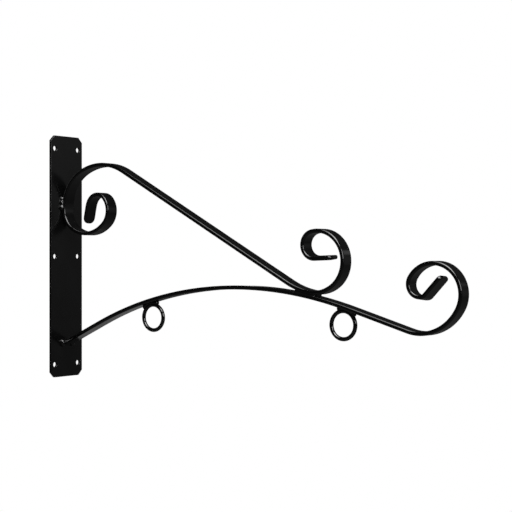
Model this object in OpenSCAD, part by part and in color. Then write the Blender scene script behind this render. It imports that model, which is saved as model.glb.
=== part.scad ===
// Hanging sign bracket for a wall.
// A steel plate is screwed to the wall, and two flat bars are welded to its front face. The lower bar
// reaches out in a long arch and ends in a large scroll. The upper bar is the brace: it curls at the
// plate, goes over a crown, comes down to the lower bar and ends in a second scroll. Two wire rings,
// which carry the sign, are welded under the lower bar.
// X points away from the wall, Y goes across the plate and Z is up. The origin is the middle of the
// plate's back face. Both bars lie on the XZ plane, with their width across it.

/* [Wall plate] */
// Height of the wall plate
plate_h = 330; // [300:5:400]
// Width of the wall plate
plate_w = 60; // [50:1:80]
// Thickness of the wall plate
plate_t = 3.5; // [2.5:0.5:6]
// Size of the 45 degree cut at each corner of the plate
corner_cut = 7; // [3:0.5:9]
// Diameter of a screw hole
hole_d = 7; // [5:0.5:10]
// From the side edge of the plate to the middle of a screw hole
hole_side = 8; // [7:0.5:12]
// From the upper or lower edge of the plate to the middle of a corner screw hole
hole_end = 17.5; // [14:0.5:25]

/* [Flat bar] */
// Width of the flat bar
bar_w = 19; // [14:1:25]
// Thickness of the flat bar
bar_t = 5; // [4:0.5:6]
// Size of the small flat on each long edge of the bar
edge_cut = 1.2; // [0.4:0.2:1.6]
// Corner radius at the free end of each scroll
scroll_end_r = 5; // [2:0.5:7]
// Corner radius at the free end of the curl
curl_end_r = 8; // [4:0.5:8]

/* [Lower bar] */
// Height of the lower bar's root above the lower edge of the plate
root_up = 45; // [40:1:60]
// Angle at which the lower bar leaves the plate
root_angle = 24.5; // [22:0.5:27]
// Straight length from the plate to the arch
root_run = 73; // [60:1:85]
// Bend radius of the arch
arch_r = 570; // [520:5:620]
// Angle that the arch turns through
arch_turn = 41; // [38:0.5:44]
// Straight length from the arch to the scroll
tail_run = 79; // [65:1:90]
// Bend radius at the start of the lower scroll
low_scroll_r1 = 54; // [49:1:59]
// Turn at the start of the lower scroll
low_scroll_t1 = 78; // [72:1:84]
// Bend radius of the lower scroll's main bend
low_scroll_r2 = 34.5; // [32:0.5:38]
// Turn of the lower scroll's main bend
low_scroll_t2 = 176; // [170:1:182]
// Bend radius of the lower scroll's inner bend
low_scroll_r3 = 15; // [13.5:0.5:16.5]
// Turn of the lower scroll's inner bend
low_scroll_t3 = 137; // [131:1:143]
// Bend radius where the lower scroll meets its tongue
low_scroll_r4 = 5; // [4:0.5:8]
// Angle of the lower scroll's tongue above level
low_tongue_rise = 46.5; // [42:0.5:50]
// Length of the lower scroll's tongue
low_tongue = 30.5; // [20:0.5:32]

/* [Upper bar] */
// Distance along the lower bar, from the plate, at which the brace meets it
joint_at = 419.5; // [405:0.5:430]
// Gap between the two bars where they meet, filled with weld
joint_gap = 0.5; // [0.2:0.1:1]
// Height of the flat that lies against the plate
seat_h = 2; // [1:0.5:6]
// Bend radius from the plate up to the crown
crown_r1 = 52; // [47:1:57]
// Turn from the plate up to the crown
crown_t1 = 62; // [57:1:67]
// Bend radius from the crown down to the brace
crown_r2 = 84; // [76:1:92]
// Angle at which the straight brace falls below level
brace_fall = 28.5; // [26:0.5:31]
// Bend radius of the dip that brings the brace down onto the lower bar
dip_r = 105; // [90:1:120]
// Bend radius at the start of the upper scroll
up_scroll_r1 = 44; // [40:1:48]
// Turn at the start of the upper scroll
up_scroll_t1 = 44; // [40:1:50]
// Bend radius of the upper scroll's main bend
up_scroll_r2 = 36; // [33:0.5:39]
// Turn of the upper scroll's main bend
up_scroll_t2 = 159; // [153:1:165]
// Bend radius of the upper scroll's inner bend
up_scroll_r3 = 16; // [14:0.5:17.5]
// Angle of the upper scroll's tongue above level
up_tongue_rise = 2; // [0:0.5:6]
// Length of the upper scroll's tongue
up_tongue = 24.5; // [15:0.5:27]

/* [Curl at the plate] */
// Bend radius from the plate into the curl
curl_r1 = 32.5; // [29:0.5:36]
// Turn from the plate into the curl
curl_t1 = 64; // [58:1:70]
// Bend radius under the curl
curl_r2 = 49; // [45:1:53]
// Turn under the curl
curl_t2 = 68; // [62:1:74]
// Bend radius up the front of the curl
curl_r3 = 24; // [22:0.5:26]
// Turn up the front of the curl
curl_t3 = 90; // [84:1:96]
// Bend radius over the top of the curl
curl_r4 = 17.5; // [16:0.5:19]
// Turn over the top of the curl
curl_t4 = 118; // [112:1:124]
// Bend radius down to the curl's free end
curl_r5 = 52; // [46:1:58]
// Turn down to the curl's free end
curl_t5 = 8; // [4:1:12]
// Straight length at the curl's free end
curl_end = 20.5; // [16:0.5:23]

/* [Sign rings] */
// Radius of a ring, to the middle of its wire
ring_r = 16.5; // [14:0.5:20]
// Diameter of the ring wire
wire_d = 5; // [4:0.5:6]
// Distance along the lower bar, from the plate, to the inner ring
inner_ring_at = 164; // [150:1:200]
// Distance along the lower bar, from the plate, to the outer ring
outer_ring_at = 472.5; // [462:0.5:480]
// Gap between a ring and the bar above it, filled with weld
ring_gap = 0.2; // [0.1:0.1:0.5]

/* [Welds] */
// Radius of the weld beads on the plate
bead_r = 4; // [3:0.5:5]
// How much larger the lumps at the ends and corners of the beads are
lump = 1.1; // [1.05:0.05:1.2]
// Length of the beads beside the upper bar, with the lumps at their ends
seat_weld_l = 20; // [16:1:24]
// How far the middle of these beads lies above the seat
seat_weld_up = 5.5; // [4:0.5:7]
// How far the weld behind the foot of the crown reaches above the seat
groove_reach = 12; // [9:1:14]
// Length of weld between the bars on the plate's side of the joint
joint_weld_in = 18; // [14:1:22]
// Length of weld between the bars on the outer side of the joint
joint_weld_out = 9; // [7:0.5:12]
// How far the joint weld lies inside the sides of the bars
joint_weld_inset = 0.3; // [0.1:0.1:0.5]
// Length of the weld over a ring
ring_weld_l = 24; // [20:1:26]
// Width of the weld over a ring
ring_weld_w = 9; // [7:1:12]
// How far the weld over a ring reaches down below the bar
ring_weld_drop = 8; // [6:0.5:9]

/* [Hidden] */
$fn = 96;
bend_facets = 240;
coat = "#17181a";
weld = "#242528";
full_turn = 360;
margin = 1;
// Every second piece of a bar is thinner by a hair on each side and laps into its neighbours, so that
// the pieces fuse into one solid with no surfaces that almost coincide
hair = 0.004;
lap = 0.05;
per_degree = PI / 180;

// A pose is [x, z, heading]: a point on a bar's centre line and the direction there, in degrees above
// level. A run is [length, 0] where the bar is straight and [radius, turn] where it is bent, and a
// positive turn bends it upwards, as seen with the wall on the left.
function ahead(pose, distance) = [
    pose[0] + distance * cos(pose[2]),
    pose[1] + distance * sin(pose[2]),
    pose[2]
];

// The pose that lies square above another one, or below it where the distance is negative
function above(pose, distance) = [
    pose[0] - distance * sin(pose[2]),
    pose[1] + distance * cos(pose[2]),
    pose[2]
];

function bend_centre(pose, run) = above(pose, sign(run[1]) * run[0]);

function after_bend(pose, run) =
    let (middle = bend_centre(pose, run))
    above([middle[0], middle[1], pose[2] + run[1]], -sign(run[1]) * run[0]);

function after(pose, run) = run[1] == 0 ? ahead(pose, run[0]) : after_bend(pose, run);

function after_runs(pose, runs, count) =
    count == 0 ? pose : after(after_runs(pose, runs, count - 1), runs[count - 1]);

function run_length(run) = run[1] == 0 ? run[0] : run[0] * abs(run[1]) * per_degree;

function start_of(run, distance) =
    run[1] == 0 ? [distance, 0] : [run[0], sign(run[1]) * distance / run[0] / per_degree];

// The pose at a distance along the bar
function pose_at(pose, runs, distance, i = 0) =
    let (this_run = run_length(runs[i]))
    distance <= this_run || i == len(runs) - 1
        ? after(pose, start_of(runs[i], distance))
        : pose_at(after(pose, runs[i]), runs, distance - this_run, i + 1);

// Lower bar. It is drawn from a point inside the plate, and the plate's front face cuts it off.
root_pose = [plate_t, root_up - plate_h / 2, root_angle];
lower_start = ahead(root_pose, -bar_t);
low_scroll_t4 = full_turn + low_tongue_rise + arch_turn - root_angle
    - low_scroll_t1 - low_scroll_t2 - low_scroll_t3;
lower_runs = [
    [bar_t + root_run, 0],
    [arch_r, -arch_turn],
    [tail_run, 0],
    [low_scroll_r1, low_scroll_t1],
    [low_scroll_r2, low_scroll_t2],
    [low_scroll_r3, low_scroll_t3],
    [low_scroll_r4, low_scroll_t4]
];

// The pose at a distance from the plate along the lower bar
function station(distance) = pose_at(lower_start, lower_runs, bar_t + distance);

// Upper bar. Its bends are fixed, and its height on the plate and the length of the straight brace
// follow from the place where it meets the lower bar.
joint_pose = station(joint_at);
meeting = above(joint_pose, bar_t + joint_gap);
crown_runs = [
    [seat_h, 0],
    [crown_r1, -crown_t1],
    [crown_r2, -(90 - crown_t1 + brace_fall)]
];
bar_x = plate_t + bar_t / 2;
crown_end = after_runs([bar_x, 0, 90], crown_runs, len(crown_runs));
dip_turn = meeting[2] + brace_fall;
dip_part = after_bend([0, 0, -brace_fall], [dip_r, dip_turn]);
brace_run = (meeting[0] - crown_end[0] - dip_part[0]) / cos(brace_fall);
seat_z = meeting[1] - crown_end[1] - dip_part[1] + brace_run * sin(brace_fall);
up_scroll_t3 = full_turn + up_tongue_rise + brace_fall - dip_turn - up_scroll_t1 - up_scroll_t2;
upper_runs = concat(crown_runs, [
    [brace_run, 0],
    [dip_r, dip_turn],
    [up_scroll_r1, up_scroll_t1],
    [up_scroll_r2, up_scroll_t2],
    [up_scroll_r3, up_scroll_t3]
]);
curl_runs = [
    [curl_r1, curl_t1],
    [curl_r2, curl_t2],
    [curl_r3, curl_t3],
    [curl_r4, curl_t4],
    [curl_r5, curl_t5]
];

// Points along an arc around a centre on the Z axis, between two values of X, on the upper side of the
// circle where the side is 1 and on the lower side where it is -1. The chords between them touch the
// circle from outside.
weld_steps = 24;
function arc_points(centre_z, radius, side, first_x, last_x) =
    let (
        first = asin(first_x / radius),
        step = (asin(last_x / radius) - first) / weld_steps,
        outside = radius / cos(step / 2)
    )
    [for (i = [0 : weld_steps])
        [outside * sin(first + i * step), centre_z + side * outside * cos(first + i * step)]];

// Outline of the weld between the bars: over the arch, then back under the upper bar, which leaves
// the joint with one bend radius on its outer side and another on the plate's side
joint_z = bar_t + joint_gap;
joint_weld_points = concat(
    arc_points(-arch_r, arch_r + bar_t / 2, 1, -joint_weld_in, joint_weld_out),
    arc_points(joint_z + up_scroll_r1, up_scroll_r1 + bar_t / 2, -1, joint_weld_out, 0),
    arc_points(joint_z + dip_r, dip_r + bar_t / 2, -1, 0, -joint_weld_in)
);

ring_drop = bar_t / 2 + ring_gap + wire_d / 2 + ring_r;
groove_w = bar_w + bead_r / 2;

// Puts its children at a pose, with their X along the bar and their Z square to it
module at_pose(pose) {
    translate([pose[0], 0, pose[1]])
        rotate([0, -pose[2], 0])
            children();
}

// Cross-section of the bar: thickness along X, width along Y
module bar_section(inset) {
    half_t = bar_t / 2 - inset;
    half_w = bar_w / 2 - inset;
    polygon([
        [edge_cut - half_t, -half_w],
        [half_t - edge_cut, -half_w],
        [half_t, edge_cut - half_w],
        [half_t, half_w - edge_cut],
        [half_t - edge_cut, half_w],
        [edge_cut - half_t, half_w],
        [-half_t, half_w - edge_cut],
        [-half_t, edge_cut - half_w]
    ]);
}

module straight_piece(pose, length, thin) {
    reach = thin ? lap : 0;
    at_pose(pose)
        translate([-reach, 0, 0])
            rotate([0, 90, 0])
                linear_extrude(length + 2 * reach)
                    bar_section(thin ? hair : 0);
}

module bent_piece(pose, radius, turn, thin) {
    middle = bend_centre(pose, [radius, turn]);
    reach = thin ? lap / radius / per_degree : 0;
    first = turn > 0 ? pose[2] - 90 : pose[2] + 90 + turn;
    translate([middle[0], 0, middle[1]])
        rotate([90, 0, 0])
            rotate([0, 0, first - reach])
                rotate_extrude(angle = abs(turn) + 2 * reach, $fn = bend_facets)
                    translate([radius, 0])
                        bar_section(thin ? hair : 0);
}

function is_thin(i) = i % 2 == 1;

// Draws a bar run by run. The number of the first run sets which of the runs are thin.
module bar_along(pose, runs, first_number = 0) {
    for (i = [0 : len(runs) - 1]) {
        start = after_runs(pose, runs, i);
        thin = is_thin(i + first_number);
        if (runs[i][1] == 0)
            straight_piece(start, runs[i][0], thin);
        else
            bent_piece(start, runs[i][0], runs[i][1], thin);
    }
}

// Outline of a free end in plan, with rounded corners
module end_outline(length, corner_r) {
    translate([-margin, -bar_w / 2])
        square([length + margin - corner_r, bar_w]);
    translate([-margin, corner_r - bar_w / 2])
        square([length + margin, bar_w - 2 * corner_r]);
    for (side = [-1, 1])
        translate([length - corner_r, side * (bar_w / 2 - corner_r)])
            circle(corner_r);
}

module free_end(pose, length, corner_r, thin) {
    intersection() {
        straight_piece(pose, length, thin);
        at_pose(pose)
            translate([0, 0, -bar_t])
                linear_extrude(2 * bar_t)
                    end_outline(length, corner_r);
    }
}

// All that lies behind the front face of the plate
module behind_plate_front() {
    depth = 2 * bead_r + 2 * bar_t;
    translate([plate_t - depth, -plate_w / 2, -plate_h / 2])
        cube([depth, plate_w, plate_h]);
}

module plate_outline() {
    half_w = plate_w / 2;
    half_h = plate_h / 2;
    polygon([
        [corner_cut - half_w, -half_h],
        [half_w - corner_cut, -half_h],
        [half_w, corner_cut - half_h],
        [half_w, half_h - corner_cut],
        [half_w - corner_cut, half_h],
        [corner_cut - half_w, half_h],
        [-half_w, half_h - corner_cut],
        [-half_w, corner_cut - half_h]
    ]);
}

module wall_plate() {
    hole_y = plate_w / 2 - hole_side;
    hole_z = plate_h / 2 - hole_end;
    color(coat)
        difference() {
            rotate([90, 0, 90])
                linear_extrude(plate_t)
                    plate_outline();
            for (y = [-hole_y, hole_y], z = [-hole_z, 0, hole_z])
                translate([-margin, y, z])
                    rotate([0, 90, 0])
                        cylinder(h = plate_t + 2 * margin, d = hole_d);
        }
}

module lower_bar_shape() {
    count = len(lower_runs);
    difference() {
        bar_along(lower_start, lower_runs);
        behind_plate_front();
    }
    free_end(after_runs(lower_start, lower_runs, count), low_tongue, scroll_end_r, is_thin(count));
}

module upper_bar_shape() {
    count = len(upper_runs);
    up_start = [bar_x, seat_z, 90];
    bar_along(up_start, upper_runs);
    free_end(after_runs(up_start, upper_runs, count), up_tongue, scroll_end_r, is_thin(count));

    curl_count = len(curl_runs);
    down_start = [bar_x, seat_z, -90];
    bar_along(down_start, curl_runs, 1);
    free_end(
        after_runs(down_start, curl_runs, curl_count), curl_end, curl_end_r, is_thin(curl_count + 1)
    );
}

module lower_scroll_bar() {
    color(coat)
        lower_bar_shape();
}

module upper_scroll_bar() {
    color(coat)
        upper_bar_shape();
}

module ring_shape(distance) {
    at_pose(above(station(distance), -ring_drop))
        rotate([90, 0, 0])
            rotate_extrude()
                translate([ring_r, 0])
                    circle(d = wire_d);
}

module inner_sign_ring() {
    color(coat)
        ring_shape(inner_ring_at);
}

module outer_sign_ring() {
    color(coat)
        ring_shape(outer_ring_at);
}

// Beads on the plate over the top of a bar and down both of its sides, with a lump at each upper corner
module bead_arch(z, width, height) {
    translate([plate_t, 0, z]) {
        translate([0, -width / 2, height / 2])
            rotate([-90, 0, 0])
                cylinder(h = width, r = bead_r);
        for (side = [-1, 1]) {
            translate([0, side * width / 2, -height / 2])
                cylinder(h = height, r = bead_r);
            translate([0, side * width / 2, height / 2])
                sphere(lump * bead_r);
        }
    }
}

module lower_bar_weld() {
    color(weld)
        difference() {
            bead_arch(root_pose[1], bar_w, bar_t / cos(root_angle));
            lower_bar_shape();
            behind_plate_front();
        }
}

// Beads on the plate along both sides of the upper bar
module side_beads(middle, height) {
    difference() {
        for (side = [-1, 1])
            translate([plate_t, side * bar_w / 2, middle - height / 2]) {
                cylinder(h = height, r = bead_r);
                for (end = [0, height])
                    translate([0, 0, end])
                        sphere(lump * bead_r);
            }
        translate([plate_t - margin, -bar_w / 2, middle - height])
            cube([3 * bead_r, bar_w, 2 * height]);
        behind_plate_front();
    }
}

// Weld in the narrow gap between the plate and the back of the crown's first bend
module groove_weld() {
    foot_z = seat_z + seat_h;
    first = 0.5 * groove_reach;
    back_r = crown_r1 + bar_t / 2;
    difference() {
        translate([plate_t, -groove_w / 2, foot_z + first])
            cube([bar_t, groove_w, groove_reach - first]);
        translate([plate_t + back_r, 0, foot_z])
            rotate([90, 0, 0])
                cylinder(h = 2 * bar_w, r = back_r, center = true, $fn = bend_facets);
    }
}

module upper_bar_weld() {
    color(weld) {
        side_beads(seat_z + seat_h + seat_weld_up, seat_weld_l - 2 * lump * bead_r);
        groove_weld();
    }
}

module bar_joint_weld() {
    width = bar_w - 2 * joint_weld_inset;
    color(weld)
        at_pose(joint_pose)
            rotate([90, 0, 0])
                translate([0, 0, -width / 2])
                    linear_extrude(width)
                        polygon(joint_weld_points);
}

module ring_weld_shape(distance) {
    eye_r = ring_r - 0.3 * wire_d;
    difference() {
        at_pose(station(distance))
            translate([-ring_weld_l / 2, -ring_weld_w / 2, -bar_t / 2 - ring_weld_drop])
                cube([ring_weld_l, ring_weld_w, ring_weld_drop + bar_t / 2]);
        lower_bar_shape();
        ring_shape(distance);
        at_pose(above(station(distance), -ring_drop))
            rotate([90, 0, 0])
                cylinder(h = ring_weld_w + 2 * margin, r = eye_r, center = true);
    }
}

module inner_ring_weld() {
    color(weld)
        ring_weld_shape(inner_ring_at);
}

module outer_ring_weld() {
    color(weld)
        ring_weld_shape(outer_ring_at);
}

wall_plate();
lower_scroll_bar();
upper_scroll_bar();
inner_sign_ring();
outer_sign_ring();
lower_bar_weld();
upper_bar_weld();
bar_joint_weld();
inner_ring_weld();
outer_ring_weld();
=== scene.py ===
# %% [markdown]
# # A hanging sign bracket
# The real thing is a steel plate that is screwed to a wall, two flat bars that are bent into an
# arch and a brace, and two wire rings that carry the sign. All of it is welded together and then
# sprayed with black powder, which is baked to a glossy coat. So the picture is made by thin
# bright lines where the round edges catch a lamp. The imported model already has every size. This
# script puts softly rounded, well finished steel in its place, piece by piece, and lights it as a
# photographer would light something glossy and black.

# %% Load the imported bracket
import math
import bpy
import bmesh
from mathutils import Matrix, Quaternion, Vector, noise


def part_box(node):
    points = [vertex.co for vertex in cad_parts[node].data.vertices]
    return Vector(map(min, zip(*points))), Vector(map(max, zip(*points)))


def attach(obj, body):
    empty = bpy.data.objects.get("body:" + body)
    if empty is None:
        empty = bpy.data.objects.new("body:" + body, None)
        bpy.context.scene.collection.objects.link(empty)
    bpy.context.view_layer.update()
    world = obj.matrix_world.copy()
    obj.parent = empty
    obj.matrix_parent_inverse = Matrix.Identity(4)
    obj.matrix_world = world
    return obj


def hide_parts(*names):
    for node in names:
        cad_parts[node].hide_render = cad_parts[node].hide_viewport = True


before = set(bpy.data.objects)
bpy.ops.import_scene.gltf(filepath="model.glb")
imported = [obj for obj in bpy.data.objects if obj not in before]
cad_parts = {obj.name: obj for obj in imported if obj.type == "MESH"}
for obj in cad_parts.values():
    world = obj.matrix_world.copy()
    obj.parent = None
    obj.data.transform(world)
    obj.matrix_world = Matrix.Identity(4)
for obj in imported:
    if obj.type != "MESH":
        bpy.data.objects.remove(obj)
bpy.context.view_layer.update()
print("pieces in the packed model:", sorted(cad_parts))

# %% [markdown]
# ## The camera first
# A camera is easiest to trust when it is set before anything is judged by eye. The photograph was
# taken level with the bracket, from the side and a little from the front, with a long lens. So
# the camera stands 1.8 m away, turned 36 degrees, and isn't tilted at all. It is placed by its
# distance straight back and to the side of the bracket's origin, because that is how a
# photographer moves a tripod.

# %% Set the camera
MM = 0.001
camera_turn = math.radians(36.4)
camera_back, camera_aside, camera_up = 1786.907, 263.427, 0.5

ahead = Vector((-math.sin(camera_turn), math.cos(camera_turn), 0))
right = Vector((math.cos(camera_turn), math.sin(camera_turn), 0))
camera_data = bpy.data.cameras.new("camera")
camera_data.sensor_width = 36
camera_data.lens = 91.125
camera = bpy.data.objects.new("camera", camera_data)
bpy.context.scene.collection.objects.link(camera)
camera.location = (-camera_back * ahead + camera_aside * right + Vector((0, 0, camera_up))) * MM
camera.rotation_euler = (math.radians(90), 0, camera_turn)
bpy.context.scene.camera = camera
print("camera at", [round(value, 4) for value in camera.location])

# %% [markdown]
# ## A sky made of patches
# Black gloss shows its surroundings more than its own colour. A sky of one colour would turn
# every face of the bars grey, and lamps alone would leave them without form. So the world of this
# studio is nearly dark and is built up from a few round patches of light with soft edges. A patch
# measures how closely a ray points at its middle and puts that through a smooth step.

# %% Helpers for the sky
world = bpy.data.worlds.new("studio")
bpy.context.scene.world = world
world.use_nodes = True
sky = world.node_tree
sky.nodes.clear()
where = sky.nodes.new("ShaderNodeTexCoord")


def sky_patch(direction, inner, outer, strength):
    """A round patch of light in the world: full within the inner angle, gone past the outer one."""
    nearness = sky.nodes.new("ShaderNodeVectorMath")
    nearness.operation = "DOT_PRODUCT"
    nearness.inputs[1].default_value = Vector(direction).normalized()
    sky.links.new(where.outputs["Generated"], nearness.inputs[0])
    fade = sky.nodes.new("ShaderNodeMapRange")
    fade.interpolation_type = "SMOOTHSTEP"
    fade.inputs["From Min"].default_value = math.cos(math.radians(outer))
    fade.inputs["From Max"].default_value = math.cos(math.radians(inner))
    fade.inputs["To Max"].default_value = strength
    sky.links.new(nearness.outputs["Value"], fade.inputs["Value"])
    return fade.outputs["Result"]


def sky_math(operation, first, second):
    """Two amounts, each a number or the output of a node, put together by an operation."""
    node = sky.nodes.new("ShaderNodeMath")
    node.operation = operation
    for socket, amount in zip(node.inputs, (first, second)):
        if isinstance(amount, float):
            socket.default_value = amount
        else:
            sky.links.new(amount, socket)
    return node.outputs["Value"]


print("an empty sky called", world.name)

# %% [markdown]
# ## The studio
# Four patches stand for pale walls. The first is mirrored in the lower half of the plate, the
# second and the third in the outer bends of both scrolls, and the last, further round to the
# side, lifts the upper half of the plate. The backdrop itself is as wide as the picture and no
# wider. So what the camera sees is plain white all round, while the gloss of the bars sees that
# white only where the backdrop stands.

# %% Light the room
room = 0.015
for wall in (
    sky_patch((0.60, 0.80, 0.02), 5, 14, 0.042),
    sky_patch((0.45, 0.80, 0.38), 10, 40, 0.017),
    sky_patch((0.464, 0.84, 0.279), 0, 6, 0.26),
    sky_patch((0.80, 0.56, 0.22), 0, 15, 0.16),
):
    room = sky_math("ADD", room, wall)
room_light = sky.nodes.new("ShaderNodeBackground")
sky.links.new(room, room_light.inputs["Color"])
white = sky.nodes.new("ShaderNodeBackground")
white.inputs["Color"].default_value = (1, 1, 1, 1)

rays = sky.nodes.new("ShaderNodeLightPath")
mirrored = sky_math("MAXIMUM", rays.outputs["Is Glossy Ray"], rays.outputs["Is Transmission Ray"])
backdrop = sky_math("MULTIPLY", mirrored, sky_patch(ahead, 2, 5, 1.0))
sees_white = sky_math("MAXIMUM", rays.outputs["Is Camera Ray"], backdrop)
choose = sky.nodes.new("ShaderNodeMixShader")
sky.links.new(sees_white, choose.inputs[0])
sky.links.new(room_light.outputs[0], choose.inputs[1])
sky.links.new(white.outputs[0], choose.inputs[2])
out = sky.nodes.new("ShaderNodeOutputWorld")
sky.links.new(choose.outputs[0], out.inputs["Surface"])
bpy.context.scene.view_settings.view_transform = "Standard"
print("world nodes:", len(sky.nodes))

# %% [markdown]
# ## Lamps
# A large soft lamp hangs overhead, a little to the front, and draws the bright lines along the
# upper edges of the bars. Its left third is a lamp of its own and dimmer, because the lines along
# the brace and the crown would outshine the rest. Another lamp stands at the right and reaches
# down to just above the bracket, so it draws the thin lines on the upright edges. A weak card
# behind the bracket, tilted like the lower bar, lifts that bar's underside, as a photographer's
# white card does. The camera sees none of them.

# %% Hang the lamps
def soft_lamp(name, place, target, width, height, radiance, roll=0):
    """A soft lamp at a place in metres, turned towards a target, with its surface's brightness.
    The roll turns it about its own middle, in degrees."""
    data = bpy.data.lights.new(name, "AREA")
    data.shape = "RECTANGLE"
    data.size = width
    data.size_y = height
    data.energy = radiance * math.pi * width * height
    lamp = bpy.data.objects.new(name, data)
    bpy.context.scene.collection.objects.link(lamp)
    lamp.location = place
    facing = (Vector(target) - Vector(place)).to_track_quat("-Z", "Y")
    lamp.rotation_euler = (facing @ Quaternion((0, 0, 1), math.radians(roll))).to_euler()
    lamp.visible_camera = False
    print(name, "at", [round(value, 2) for value in place], "power", round(data.energy, 4), "W")


middle = Vector((0.3, 0, 0))
soft_lamp("overhead_lamp", (0.80, -0.45, 1.10), (0.68, 0, 0), 0.75, 1.35, 6.0)
soft_lamp("overhead_dim_side", (0.23, -0.45, 1.10), (0.11, 0, 0), 0.38, 1.35, 2.2)
soft_lamp("side_lamp", (1.8, -0.6, 0.52), middle, 0.8, 0.7, 4.0)
card_x, card_z = -0.065, -0.206
soft_lamp(
    "underside_card", (card_x, 0.20, card_z), (card_x, 0, card_z), 0.165, 0.045, 0.12, -43.5)

# %% [markdown]
# ## The floor
# The bracket hangs in the air, with the floor well below it. A floor can be a thick slab, but
# only its top is ever seen, so one flat square will do.

# %% Lay the floor
floor_z, floor_half = -0.62, 4.0
floor_mesh = bpy.data.meshes.new("floor")
bm = bmesh.new()
bmesh.ops.create_grid(bm, x_segments=1, y_segments=1, size=floor_half)
bmesh.ops.translate(bm, verts=bm.verts, vec=(0, 0, floor_z))
bm.to_mesh(floor_mesh)
bm.free()
floor = bpy.data.objects.new("floor", floor_mesh)
bpy.context.scene.collection.objects.link(floor)
print("floor at", floor_z, "m")

# %% [markdown]
# ## The paint of the floor
# Below the bracket the floor is pale and takes its shadow. Further out it turns to the white of
# the backdrop, as a paper sweep does, so that no edge shows behind the bracket. A floor of plain
# white paint would also light the bars from below and turn their undersides grey. So light that
# doesn't come straight from the camera finds a darker floor there.

# %% Paint the floor
shadow_r, sweep_r = 0.75, 1.3
floor_paint = bpy.data.materials.new("floor_paint")
floor_paint.use_nodes = True
tree = floor_paint.node_tree
tree.nodes.clear()
place = tree.nodes.new("ShaderNodeTexCoord")
from_middle = tree.nodes.new("ShaderNodeVectorMath")
from_middle.operation = "DISTANCE"
from_middle.inputs[1].default_value = (middle.x, middle.y, floor_z)
tree.links.new(place.outputs["Object"], from_middle.inputs[0])
sweep = tree.nodes.new("ShaderNodeMapRange")
sweep.interpolation_type = "SMOOTHSTEP"
sweep.inputs["From Min"].default_value = shadow_r
sweep.inputs["From Max"].default_value = sweep_r
tree.links.new(from_middle.outputs["Value"], sweep.inputs["Value"])


def floor_shade(shade):
    """A plain paint of the floor, which takes light and shadow."""
    paint = tree.nodes.new("ShaderNodeBsdfDiffuse")
    paint.inputs["Color"].default_value = (shade, shade, shade, 1)
    return paint.outputs[0]


def floor_glow(strength):
    """A plain glow of the floor."""
    glow = tree.nodes.new("ShaderNodeEmission")
    glow.inputs["Color"].default_value = (1, 1, 1, 1)
    glow.inputs["Strength"].default_value = strength
    return glow.outputs[0]


def floor_choice(amount, first, second):
    """The first surface where the amount is 0, the second where it is 1."""
    mix = tree.nodes.new("ShaderNodeMixShader")
    tree.links.new(amount, mix.inputs[0])
    tree.links.new(first, mix.inputs[1])
    tree.links.new(second, mix.inputs[2])
    return mix.outputs[0]


def floor_sum(first, second):
    """Two surfaces on top of each other."""
    both = tree.nodes.new("ShaderNodeAddShader")
    tree.links.new(first, both.inputs[0])
    tree.links.new(second, both.inputs[1])
    return both.outputs[0]


pale_shade, pale_glow = 0.11, 0.85
unseen_shade, unseen_glow = 0.04, 0.033
pale = floor_sum(floor_shade(pale_shade), floor_glow(pale_glow))
seen = floor_choice(sweep.outputs["Result"], pale, floor_glow(1.0))
unseen = floor_sum(floor_shade(unseen_shade), floor_glow(unseen_glow))
rays = tree.nodes.new("ShaderNodeLightPath")
out = tree.nodes.new("ShaderNodeOutputMaterial")
tree.links.new(floor_choice(rays.outputs["Is Camera Ray"], unseen, seen), out.inputs["Surface"])
floor_mesh.materials.append(floor_paint)
print("the floor is pale within", shadow_r, "m and white from", sweep_r, "m")

# %% [markdown]
# ## Powder coat
# Powder coat is baked paint. It is glossy black, but its skin is never flat: it has the fine,
# soft ripple called orange peel, and the gloss changes a little from place to place. The ripple
# is a noise of about 2 mm for the bump. A broader noise of about 20 mm changes the tone and the
# roughness. All patterns use Object coordinates, because the pieces keep their place in their
# meshes and so nothing slides. The glossy skin is a coat over a slightly rougher base, which
# softens the foot of each bright line as real paint does.

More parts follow.
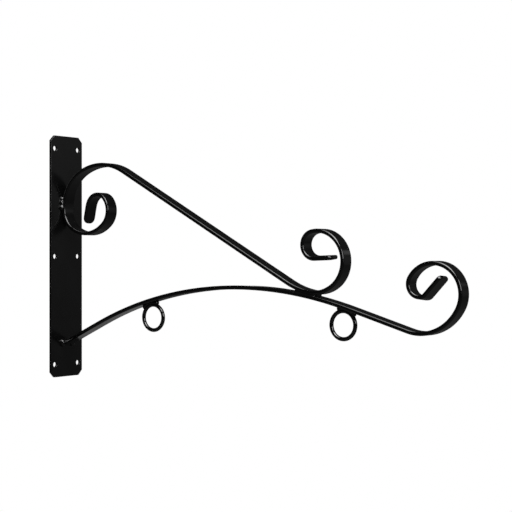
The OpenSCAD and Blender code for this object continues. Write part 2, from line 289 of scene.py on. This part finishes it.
# %% Mix the powder coat
def powder_coat(name, gloss, skin_gloss, skin_index, ripple, ripple_size):
    """Black baked paint. The ripple is its height in metres and ripple_size its width in metres."""
    shade = 0.002
    patches_per_metre = 45
    noise_low, noise_high = 0.3, 0.7
    material = bpy.data.materials.new(name)
    material.use_nodes = True
    tree = material.node_tree
    coat = tree.nodes["Principled BSDF"]
    coat.inputs["IOR"].default_value = 1.5
    coat.inputs["Coat Weight"].default_value = 1
    coat.inputs["Coat Roughness"].default_value = skin_gloss
    coat.inputs["Coat IOR"].default_value = skin_index
    place = tree.nodes.new("ShaderNodeTexCoord")

    patches = tree.nodes.new("ShaderNodeTexNoise")
    patches.inputs["Scale"].default_value = patches_per_metre
    patches.inputs["Detail"].default_value = 3
    tree.links.new(place.outputs["Object"], patches.inputs["Vector"])
    tone = tree.nodes.new("ShaderNodeValToRGB")
    darker, lighter = tone.color_ramp.elements
    darker.position = noise_low
    darker.color = (shade * 0.8, shade * 0.8, shade * 0.82, 1)
    lighter.position = noise_high
    lighter.color = (shade * 1.15, shade * 1.15, shade * 1.18, 1)
    tree.links.new(patches.outputs["Fac"], tone.inputs["Fac"])
    tree.links.new(tone.outputs["Color"], coat.inputs["Base Color"])
    rough = tree.nodes.new("ShaderNodeMapRange")
    rough.inputs["From Min"].default_value = noise_low
    rough.inputs["From Max"].default_value = noise_high
    rough.inputs["To Min"].default_value = gloss * 0.9
    rough.inputs["To Max"].default_value = gloss * 1.12
    tree.links.new(patches.outputs["Fac"], rough.inputs["Value"])
    tree.links.new(rough.outputs["Result"], coat.inputs["Roughness"])

    peel = tree.nodes.new("ShaderNodeTexNoise")
    peel.inputs["Scale"].default_value = 1 / ripple_size
    peel.inputs["Detail"].default_value = 2
    tree.links.new(place.outputs["Object"], peel.inputs["Vector"])
    bump = tree.nodes.new("ShaderNodeBump")
    bump.inputs["Strength"].default_value = 1
    bump.inputs["Distance"].default_value = ripple
    tree.links.new(peel.outputs["Fac"], bump.inputs["Height"])
    tree.links.new(bump.outputs["Normal"], coat.inputs["Normal"])
    return material


plate_coat = powder_coat("plate_coat", 0.28, 0.17, 1.5, 0.000010, 0.0022)
bar_coat = powder_coat("bar_coat", 0.18, 0.09, 1.5, 0.000003, 0.0025)
ring_coat = powder_coat("ring_coat", 0.12, 0.09, 1.7, 0.000002, 0.0020)
weld_coat = powder_coat("weld_coat", 0.20, 0.09, 1.5, 0.000006, 0.0016)
print("finishes:", [m.name for m in (plate_coat, bar_coat, ring_coat, weld_coat)])

# %% [markdown]
# ## Small tools for the workshop
# A bmesh operator returns a mixed list of what it made, and a good piece has no open edge. The
# same few questions come up for every piece, so each gets a short helper here. The bevel is
# always the same kind as well: round, measured by its offset, and in the material of the faces
# beside it.

# %% Helpers for a bmesh
def verts_of(made):
    """The vertices among what an operator made."""
    return [part for part in made if isinstance(part, bmesh.types.BMVert)]


def edges_of(made):
    """The edges among what an operator made."""
    return [part for part in made if isinstance(part, bmesh.types.BMEdge)]


def ends_of(edges):
    """The vertices at the ends of some edges, each of them once."""
    return list(dict.fromkeys(v for e in edges for v in e.verts))


def sharp_edges(bm, angle):
    """The edges where two faces meet at more than an angle in degrees."""
    limit = math.radians(angle)
    return [e for e in bm.edges if len(e.link_faces) == 2 and e.calc_face_angle(0) > limit]


def open_edges(bm):
    """How many edges don't have exactly two faces. A closed piece has none."""
    return sum(1 for e in bm.edges if len(e.link_faces) != 2)


def bevel(bm, geom, offset, segments, affect="EDGES"):
    """Rounds edges, or cuts corners where it affects vertices."""
    bmesh.ops.bevel(
        bm, geom=geom, offset=offset, offset_type="OFFSET", segments=segments, profile=0.5,
        affect=affect, material=-1)


print("workshop ready")

# %% [markdown]
# ## From a bmesh to a finished piece
# Every piece is drawn in millimetres, which are easy to read, and scaled to metres once, in its
# mesh. Its object stays at the origin. Rounded edges only look round if the flat faces beside
# them stay flat in the shading, so a Weighted Normal modifier lets the large faces lead.

# %% Finish a piece
def finish(bm, name, material, stands_for):
    """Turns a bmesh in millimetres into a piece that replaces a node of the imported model."""
    bmesh.ops.recalc_face_normals(bm, faces=bm.faces)
    bmesh.ops.scale(bm, vec=(MM, MM, MM), verts=bm.verts)
    mesh = bpy.data.meshes.new(name)
    bm.to_mesh(mesh)
    bm.free()
    mesh.shade_smooth()
    mesh.materials.append(material)
    piece = bpy.data.objects.new(name, mesh)
    bpy.context.scene.collection.objects.link(piece)
    weighted = piece.modifiers.new("flat_faces_stay_flat", "WEIGHTED_NORMAL")
    weighted.weight = 100
    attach(piece, "root")
    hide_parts(stands_for)
    low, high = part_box(stands_for)
    print(name, "has", len(mesh.polygons), "faces")
    print("its node's box:", [round(value, 4) for value in (*low, *high)])
    return piece


# %% [markdown]
# ## The wall plate
# The real plate is cut from flat bar, has its corners cut off and six holes drilled or punched,
# and its edges are softened by the coat. It could be a box with booleans. Here its outline and
# the circles of the holes are drawn as edges, filled in one go, and the flat sheet is then given
# its thickness. After that every sharp edge gets a small round, the rims of the holes as well.

# %% Make the wall plate
plate_w, plate_h, plate_t, corner_cut, plate_edge_r = 60, 330, 3.5, 7, 0.45
hole_r, hole_y, hole_z = 3.5, 22, 147.5

bm = bmesh.new()
half_w, half_h = plate_w / 2, plate_h / 2
plate_corners = ((-half_w, -half_h), (half_w, -half_h), (half_w, half_h), (-half_w, half_h))
bm.faces.new([bm.verts.new((0, y, z)) for y, z in plate_corners])
bevel(bm, bm.verts[:], corner_cut, 1, affect="VERTICES")
bmesh.ops.delete(bm, geom=bm.faces[:], context="FACES_ONLY")
for y in (-hole_y, hole_y):
    for z in (-hole_z, 0, hole_z):
        hole = Matrix.Translation((0, y, z)) @ Matrix.Rotation(math.radians(90), 4, "Y")
        bmesh.ops.create_circle(bm, segments=32, radius=hole_r, matrix=hole)
bmesh.ops.triangle_fill(bm, use_beauty=True, use_dissolve=True, edges=bm.edges[:], normal=(1, 0, 0))
sheet = bmesh.ops.extrude_face_region(bm, geom=bm.faces[:])
bmesh.ops.translate(bm, vec=(plate_t, 0, 0), verts=verts_of(sheet["geom"]))
bmesh.ops.recalc_face_normals(bm, faces=bm.faces)
sharp = sharp_edges(bm, 35)
print("plate: sharp edges", len(sharp), "open edges", open_edges(bm))
bevel(bm, sharp, plate_edge_r, 3)
finish(bm, "coated_plate", plate_coat, "wall_plate")

# %% [markdown]
# ## Poses along a bar
# The smith bends a straight flat bar round formers, one bend after the other, and always knows
# where the bar points next. The script does the same: a pose is a place in the upright plane of
# the bracket and a heading in degrees. A run is either straight, [length, 0], or a bend, [radius,
# turn].

# %% Follow a bar
bar_w, bar_t = 19, 5


def ahead_of(pose, distance):
    """The pose [x, z, heading] moved straight on."""
    x, z, heading = pose
    angle = math.radians(heading)
    return [x + distance * math.cos(angle), z + distance * math.sin(angle), heading]


def above(pose, distance):
    """The pose moved square to its heading."""
    x, z, heading = pose
    angle = math.radians(heading)
    return [x - distance * math.sin(angle), z + distance * math.cos(angle), heading]


def after(pose, run):
    """The pose at the end of a run."""
    size, bend = run
    if bend == 0:
        return ahead_of(pose, size)
    side = math.copysign(size, bend)
    x, z, heading = above(pose, side)
    return above([x, z, heading + bend], -side)


def pose_at(pose, runs, distance):
    """The pose at a distance along a bar."""
    for size, bend in runs:
        length = size if bend == 0 else size * math.radians(abs(bend))
        if distance <= length:
            turned = math.copysign(math.degrees(distance / size), bend)
            return after(pose, [distance, 0] if bend == 0 else [size, turned])
        distance -= length
        pose = after(pose, [size, bend])
    return pose


def direction(pose):
    """The way that a pose points."""
    angle = math.radians(pose[2])
    return Vector((math.cos(angle), 0, math.sin(angle)))


def pose_matrix(pose):
    """Puts what was drawn at the origin, with X along the bar, at a pose."""
    x, z, heading = pose
    return Matrix.Translation((x, 0, z)) @ Matrix.Rotation(math.radians(-heading), 4, "Y")


print("a quarter bend of 50 mm ends at", [round(value, 2) for value in after([0, 0, 0], [50, 90])])

# %% [markdown]
# ## A slight twist
# The last bends of a scroll are tight and pulled by hand, so its free end never lies quite flat:
# it turns a few degrees about its own length. Seen at a low angle, that changes how wide the
# tongue looks. The twist grows evenly through one bend and then stays, so each point of the bar
# is turned about the bar's middle line by its own share.

# %% Twist a point of a bar
def twist_point(point, start, run, twist, growing):
    """Turns a point of a bar about the bar's own middle line: by the whole twist, or by the
    point's share of it in the run where the twist is growing."""
    size, bend = run
    here, share = after(start, run), 1
    if bend:
        side = math.copysign(1, bend)
        x, z, _ = above(start, side * size)
        start_angle = math.degrees(math.atan2(start[1] - z, start[0] - x))
        point_angle = math.degrees(math.atan2(point.z - z, point.x - x))
        gone = (point_angle - start_angle) * side % 360
        here = after(start, [size, side * gone])
        share = gone / abs(bend) if growing else 1
    turn = Matrix.Rotation(math.radians(twist * share), 4, "X")
    return pose_matrix(here) @ turn @ pose_matrix(here).inverted() @ point


level = twist_point(Vector((10, bar_w / 2, 0)), [0, 0, 0], [10, 0], 5, False)
print("a twist of 5 degrees lifts the bar's edge by", round(level.z, 2), "mm")

# %% [markdown]
# ## Bending a flat bar
# The walk starts with the four corners of the bar's section, pushes them straight on or spins
# them round the centre of a bend, and so goes along the bar. A curve with a bevel object would be
# shorter to write, but its section turns and narrows at tight bends, and the bends would not be
# true arcs. The long arch gets finer steps than the scrolls, because its facets would be longer.
# Last of all the mill's and the coat's soft edges are put on with one bevel.

# %% Bend a bar
def push_straight(bm, edges, pose, length):
    """Pushes a bar's section straight on and returns its new edges."""
    grown = bmesh.ops.extrude_edge_only(bm, edges=edges)["geom"]
    new_verts = verts_of(grown)
    bmesh.ops.translate(bm, vec=direction(pose) * length, verts=new_verts)
    return [e for e in edges_of(grown) if all(v in new_verts for v in e.verts)]


def spin_bend(bm, edges, pose, radius, bend):
    """Spins a bar's section round the centre of a bend and returns its new edges."""
    x, z, _ = above(pose, math.copysign(radius, bend))
    degrees_per_step = 1.2 if radius > 200 else 3
    steps = max(4, round(abs(bend) / degrees_per_step))
    spun = bmesh.ops.spin(
        bm, geom=edges + ends_of(edges), cent=(x, 0, z), axis=(0, -1, 0), angle=math.radians(bend),
        steps=steps, use_duplicate=False)
    return edges_of(spun["geom_last"])


def bend_bar(bm, pose, runs, end_length, end_r, twist=0, twist_run=0):
    """Walks a bar's section along its runs and rounds the corners of its free end. A twist in
    degrees grows through one of the runs, counted from 0, and stays the same from there to the
    free end. Returns the first edges and the pose of the free end."""
    half_w, half_t = bar_w / 2, bar_t / 2
    section = ((-half_w, -half_t), (half_w, -half_t), (half_w, half_t), (-half_w, half_t))
    corners = [bm.verts.new((0, y, z)) for y, z in section]
    first = edges = [bm.edges.new((corners[i], corners[(i + 1) % 4])) for i in range(4)]
    bmesh.ops.transform(bm, matrix=pose_matrix(pose), verts=corners)
    twisted = []
    for number, run in enumerate(runs + [[end_length, 0]]):
        known = set(bm.verts)
        if run[1] == 0:
            edges = push_straight(bm, edges, pose, run[0])
        else:
            edges = spin_bend(bm, edges, pose, *run)
        if twist and number >= twist_run:
            twisted += [(v, pose, run, number == twist_run) for v in bm.verts if v not in known]
        pose = after(pose, run)
    for v, start, run, growing in twisted:
        v.co = twist_point(v.co, start, run, twist, growing)
    bmesh.ops.holes_fill(bm, edges=edges, sides=4)
    corner_edges = [e for e in edges if abs(e.verts[0].co.y - e.verts[1].co.y) < half_t]
    bevel(bm, corner_edges, end_r, 8)
    return first, pose


def round_edges(bm, radius):
    """Rounds every sharp edge, as the mill and the coat leave them."""
    bmesh.ops.remove_doubles(bm, verts=bm.verts, dist=0.0005)
    bmesh.ops.recalc_face_normals(bm, faces=bm.faces)
    sharp = sharp_edges(bm, 40)
    print("rounding", len(sharp), "edges; open edges:", open_edges(bm))
    bevel(bm, sharp, radius, 6)


# %% [markdown]
# ## The lower bar
# It leaves the plate at 24.5 degrees, runs through a long arch and ends in the large scroll,
# whose free end is a short straight tongue with round corners. The last bend of the scroll is
# whatever is left to bring the tongue to its own rise. The smith saws the bar's root upright to
# meet the plate, so the corners of its first section slide along the bar until they lie on the
# plate.

# %% Bend the lower bar
bar_edge_r, tongue_corner_r = 1.9, 5
arch_r, arch_turn = 570, 41
low_tongue, low_tongue_rise, low_twist = 30.5, 46.5, -6.5
root_up, root_rise = 45, 24.5
root = [plate_t, root_up - plate_h / 2, root_rise]

scroll_bends = [[54, 78], [34.5, 176], [15, 137]]
scroll_heading = root_rise - arch_turn + sum(bend for _, bend in scroll_bends)
last_bend = [5, 360 + low_tongue_rise - scroll_heading]
lower_runs = [[73, 0], [arch_r, -arch_turn], [79, 0]] + scroll_bends + [last_bend]
bm = bmesh.new()
root_edges, low_tip = bend_bar(
    bm, root, lower_runs, low_tongue, tongue_corner_r, twist=low_twist, twist_run=5)
root_angle = math.radians(root_rise)
for v in ends_of(root_edges):
    along = (plate_t - v.co.x) / math.cos(root_angle)
    v.co += direction(root) * along
round_edges(bm, bar_edge_r)
bmesh.ops.holes_fill(bm, edges=[e for e in bm.edges if e.is_boundary], sides=0)
print("tip of the lower scroll at", [round(value, 2) for value in low_tip])
print("open edges left:", open_edges(bm))
finish(bm, "coated_lower_bar", bar_coat, "lower_scroll_bar")

# %% [markdown]
# ## The upper bar
# One bar makes the crown, the brace and the second scroll, and the same bar goes down from the
# plate into the curl. It is walked twice, upwards and downwards from the flat that lies on the
# plate, and the two halves are joined there. The brace has to come down exactly onto the lower
# bar, so its length and the height of its seat aren't chosen: they follow from the place where
# the two bars meet.

# %% Bend the upper bar
joint_at, joint_gap = 419.5, 0.5
brace_fall, dip_r, small_scroll_r = 28.5, 105, 44
seat_h, crown_r, crown_turn, shoulder_r = 2, 52, 62, 84
up_tongue, up_tongue_rise, up_twist = 24.5, 2, 5
curl_tongue, curl_corner_r = 20.5, 8

joint = pose_at(root, lower_runs, joint_at)
meeting = above(joint, bar_t + joint_gap)
dip_turn = meeting[2] + brace_fall
crown_runs = [[seat_h, 0], [crown_r, -crown_turn], [shoulder_r, -(90 - crown_turn + brace_fall)]]
crown_end = [plate_t + bar_t / 2, 0, 90]
for run in crown_runs:
    crown_end = after(crown_end, run)
dip = after([0, 0, -brace_fall], [dip_r, dip_turn])
fall_angle = math.radians(brace_fall)
brace = (meeting[0] - crown_end[0] - dip[0]) / math.cos(fall_angle)
seat_z = meeting[1] - crown_end[1] - dip[1] + brace * math.sin(fall_angle)
small_bends = [[small_scroll_r, 44], [36, 159]]
small_heading = dip_turn - brace_fall + sum(bend for _, bend in small_bends)
small_bends.append([16, 360 + up_tongue_rise - small_heading])
upper_runs = crown_runs + [[brace, 0], [dip_r, dip_turn]] + small_bends
curl_runs = [[32.5, 64], [49, 68], [24, 90], [17.5, 118], [52, 8]]

bm = bmesh.new()
seat_x = plate_t + bar_t / 2
_, up_tip = bend_bar(
    bm, [seat_x, seat_z, 90], upper_runs, up_tongue, tongue_corner_r, twist=up_twist, twist_run=7)
_, curl_tip = bend_bar(bm, [seat_x, seat_z, -90], curl_runs, curl_tongue, curl_corner_r)
round_edges(bm, bar_edge_r)
print("the seat is at", round(seat_z, 2), "and the brace is", round(brace, 2), "long")
print("tips of the small scroll and the curl:", [round(value, 2) for value in up_tip + curl_tip])
finish(bm, "coated_upper_bar", bar_coat, "upper_scroll_bar")

# %% [markdown]
# ## The rings
# A ring is a piece of round wire, bent until its ends meet. A torus would do, but a circle spun
# round the middle of the ring says how it was made. It is turned upright and hung just below the
# lower bar.

# %% Turn the rings
ring_r, wire_r, ring_gap = 16.5, 2.5, 0.2
inner_ring_at, outer_ring_at = 164, 472.5
ring_drop = bar_t / 2 + ring_gap + wire_r + ring_r
upright = Matrix.Rotation(math.radians(90), 4, "X")
for ring, distance in (("inner", inner_ring_at), ("outer", outer_ring_at)):
    bm = bmesh.new()
    wire = Matrix.Translation((ring_r, 0, 0)) @ upright
    bmesh.ops.create_circle(bm, segments=20, radius=wire_r, matrix=wire)
    bmesh.ops.spin(
        bm, geom=bm.edges[:] + bm.verts[:], cent=(0, 0, 0), axis=(0, 0, 1), angle=math.tau,
        steps=72, use_merge=True, use_duplicate=False)
    bmesh.ops.remove_doubles(bm, verts=bm.verts, dist=0.001)
    print(ring, "ring: open edges", open_edges(bm))
    hung = pose_matrix(above(pose_at(root, lower_runs, distance), -ring_drop))
    bmesh.ops.transform(bm, verts=bm.verts, matrix=hung @ upright)
    finish(bm, "coated_" + ring + "_ring", ring_coat, ring + "_sign_ring")

# %% [markdown]
# ## How a weld is laid
# A weld is laid drop by drop, so it is a row of small round drops that have run together. It
# could be a tube with a bumpy material, but its outline would stay smooth. Here it is a row of
# little balls that a Remesh modifier melts into one skin and a Smooth modifier settles. A plane
# then cuts away what would stick out behind the face of the plate.

# %% Melt drops into a weld
cut_x = 3


def weld(name, node, drops, voxel=0.45, smooth=6):
    """Melts drops, each a place, a radius and a stretch in millimetres, into one weld."""
    bm = bmesh.new()
    for place, radius, stretch in drops:
        matrix = Matrix.Translation(place) @ Matrix.Diagonal((*stretch, 1))
        bmesh.ops.create_icosphere(bm, subdivisions=3, radius=radius, matrix=matrix)
    bmesh.ops.scale(bm, vec=(MM, MM, MM), verts=bm.verts)
    mesh = bpy.data.meshes.new(name)
    bm.to_mesh(mesh)
    bm.free()
    rough = bpy.data.objects.new(name, mesh)
    bpy.context.scene.collection.objects.link(rough)
    melt = rough.modifiers.new("melt", "REMESH")
    melt.mode = "VOXEL"
    melt.voxel_size = voxel * MM
    settle = rough.modifiers.new("settle", "SMOOTH")
    settle.iterations = smooth
    melted = rough.evaluated_get(bpy.context.evaluated_depsgraph_get())
    ready = bpy.data.meshes.new_from_object(melted)
    bpy.data.objects.remove(rough)
    bm = bmesh.new()
    bm.from_mesh(ready)
    bmesh.ops.scale(bm, vec=(1 / MM, 1 / MM, 1 / MM), verts=bm.verts)
    everything = bm.verts[:] + bm.edges[:] + bm.faces[:]
    cut = bmesh.ops.bisect_plane(
        bm, geom=everything, plane_co=(cut_x, 0, 0), plane_no=(-1, 0, 0), clear_outer=True)
    rim = edges_of(cut["geom_cut"])
    if rim:
        bmesh.ops.triangle_fill(bm, use_beauty=True, edges=rim)
    piece = finish(bm, name, weld_coat, node)
    piece.modifiers.clear()


def wander(seed, amount):
    """A small steady offset for a drop, so that no two are alike."""
    return noise.noise(Vector((seed * 1.37, 0.5, 2.1))) * amount


print("a drop may wander by", [round(wander(i, 1), 2) for i in range(4)])

# %% [markdown]
# ## The weld at the root
# The lower bar is welded to the plate over its top and down both sides, and not underneath. So
# the drops make an arch: a close row over the top, a short row down each side, and one more drop
# where the two rows meet, because the welder dwells at the corner.

# %% Weld the lower bar's root
root_half = bar_t / 2 / math.cos(root_angle)
root_top = root[1] + root_half
root_row_x = plate_t + 0.4
top_drops, side_drops = 25, 6
top_drop_r, side_drop_r, corner_drop_r, drop_wander = 3.9, 3.5, 3.7, 0.2
drops = []
for i in range(top_drops):
    place = (root_row_x, -bar_w / 2 + i * bar_w / (top_drops - 1), root_top)
    drops.append((place, top_drop_r + wander(i, drop_wander), (1.15, 1, 1)))
for side in (-1, 1):
    for i in range(side_drops):
        down = i * 1.1 / (side_drops - 1)
        place = (root_row_x, side * (bar_w / 2 - 0.6), root[1] + root_half * (1 - down))
        drops.append((place, side_drop_r + wander(i + side * 7, drop_wander), (1.25, 1, 1)))
    corner = (plate_t + 1.0, side * (bar_w / 2 - 0.3), root_top - 1.0)
    drops.append((corner, corner_drop_r, (1.15, 1, 1)))
weld("coated_lower_weld", "lower_bar_weld", drops)

# %% [markdown]
# ## The weld at the seat
# The upper bar lies flat on the plate, so it is welded along both of its sides, from the seat
# upwards. These drops are rougher and differ in size, so that they glitter. They are settled less
# for the same reason. A thinner row fills the groove behind the foot of the crown, between the
# two sides.

# %% Weld the upper bar's seat
seat_weld_up, seat_row, seat_drops, seat_drop_r = 5.5, 12, 8, 3.7
groove_up, groove_drops, groove_drop_r = 10, 11, 1.7
drops = []
for i in range(seat_drops):
    z = seat_z + seat_h + seat_weld_up - seat_row / 2 + i * seat_row / (seat_drops - 1)
    for side in (-1, 1):
        x = plate_t + wander(i * 5 + side * 3, 0.8)
        y = side * (bar_w / 2 + wander(i + side * 31, 0.6))
        drops.append(((x, y, z), seat_drop_r + wander(i * 3 + side * 11, 1.3), (1, 1, 1)))
for i in range(groove_drops):
    y = -bar_w / 2 + i * bar_w / (groove_drops - 1)
    place = (plate_t + 1.2, y, seat_z + seat_h + groove_up)
    drops.append((place, groove_drop_r + wander(i + 60, 0.4), (0.8, 1, 1.2)))
weld("coated_upper_weld", "upper_bar_weld", drops, smooth=3)

# %% [markdown]
# ## The welds over the rings
# Each ring all but touches the bar at one point, so its weld fills the narrowing gap on both sides
# of that point. A drop is as deep as the gap at its place, up to the depth that the weld really
# has, and the drops are stretched along the bar so that they run together.

# %% Weld the rings
weld_reach, weld_depth, ring_drops = 11, 6.5, 13
for ring, distance in (("inner", inner_ring_at), ("outer", outer_ring_at)):
    at = pose_matrix(pose_at(root, lower_runs, distance))
    drops = []
    for i in range(ring_drops):
        along = -weld_reach + i * 2 * weld_reach / (ring_drops - 1)
        gap = ring_drop - bar_t / 2 - math.sqrt(max(0, (ring_r + wire_r * 0.6) ** 2 - along ** 2))
        deep = min(gap, weld_depth)
        place = at @ Vector((along, wander(i, 0.5), -bar_t / 2 - deep / 2 + 0.3))
        drops.append((place, 1, (2.2, 4.2 - abs(along) * 0.08, deep / 2 + 0.9)))
    weld("coated_" + ring + "_ring_weld", ring + "_ring_weld", drops)

# %% [markdown]
# ## The weld between the bars
# The weld between the two bars was ground flush with their sides before the coat went on, so it
# is a smooth wedge that fills the groove up to the rounded edges. Melted drops would be too lumpy
# for it. Its outline follows the arch below and the two bends of the upper bar above, each drawn
# by spinning a point round the centre of the bend. The outline is filled and pushed across the
# bar.

# %% Fill the joint
inner_end, outer_end, joint_half_w = -18, 9, 9.3
tuck = bar_t / 2 - bar_edge_r
gap_z = bar_t + joint_gap
arcs = (
    (-arch_r, arch_r + tuck, 1, inner_end, outer_end),
    (gap_z + small_scroll_r, small_scroll_r + tuck, -1, outer_end, 0),
    (gap_z + dip_r, dip_r + tuck, -1, 0, inner_end),
)
bm = bmesh.new()
for centre_z, radius, side, from_x, to_x in arcs:
    from_angle, to_angle = (math.asin(x / radius) for x in (from_x, to_x))
    point = bm.verts.new((from_x, 0, centre_z + side * radius * math.cos(from_angle)))
    bmesh.ops.spin(
        bm, geom=[point], cent=(0, 0, centre_z), axis=(0, side, 0), angle=to_angle - from_angle,
        steps=16, use_duplicate=False)
bmesh.ops.remove_doubles(bm, verts=bm.verts, dist=0.02)
loose_ends = [v for v in bm.verts if len(v.link_edges) == 1]
for end_x in (inner_end, outer_end):
    bm.edges.new([v for v in loose_ends if abs(v.co.x - end_x) < 0.1])
print("joint weld outline:", len(bm.verts), "points,", len(bm.edges), "edges")
bmesh.ops.triangle_fill(bm, use_beauty=True, use_dissolve=True, edges=bm.edges[:], normal=(0, 1, 0))
bmesh.ops.translate(bm, vec=(0, -joint_half_w, 0), verts=bm.verts)
grown = bmesh.ops.extrude_face_region(bm, geom=bm.faces[:])
bmesh.ops.translate(bm, vec=(0, 2 * joint_half_w, 0), verts=verts_of(grown["geom"]))
bmesh.ops.transform(bm, matrix=pose_matrix(joint), verts=bm.verts)
print("joint weld: open edges", open_edges(bm))
finish(bm, "coated_joint_weld", weld_coat, "bar_joint_weld")
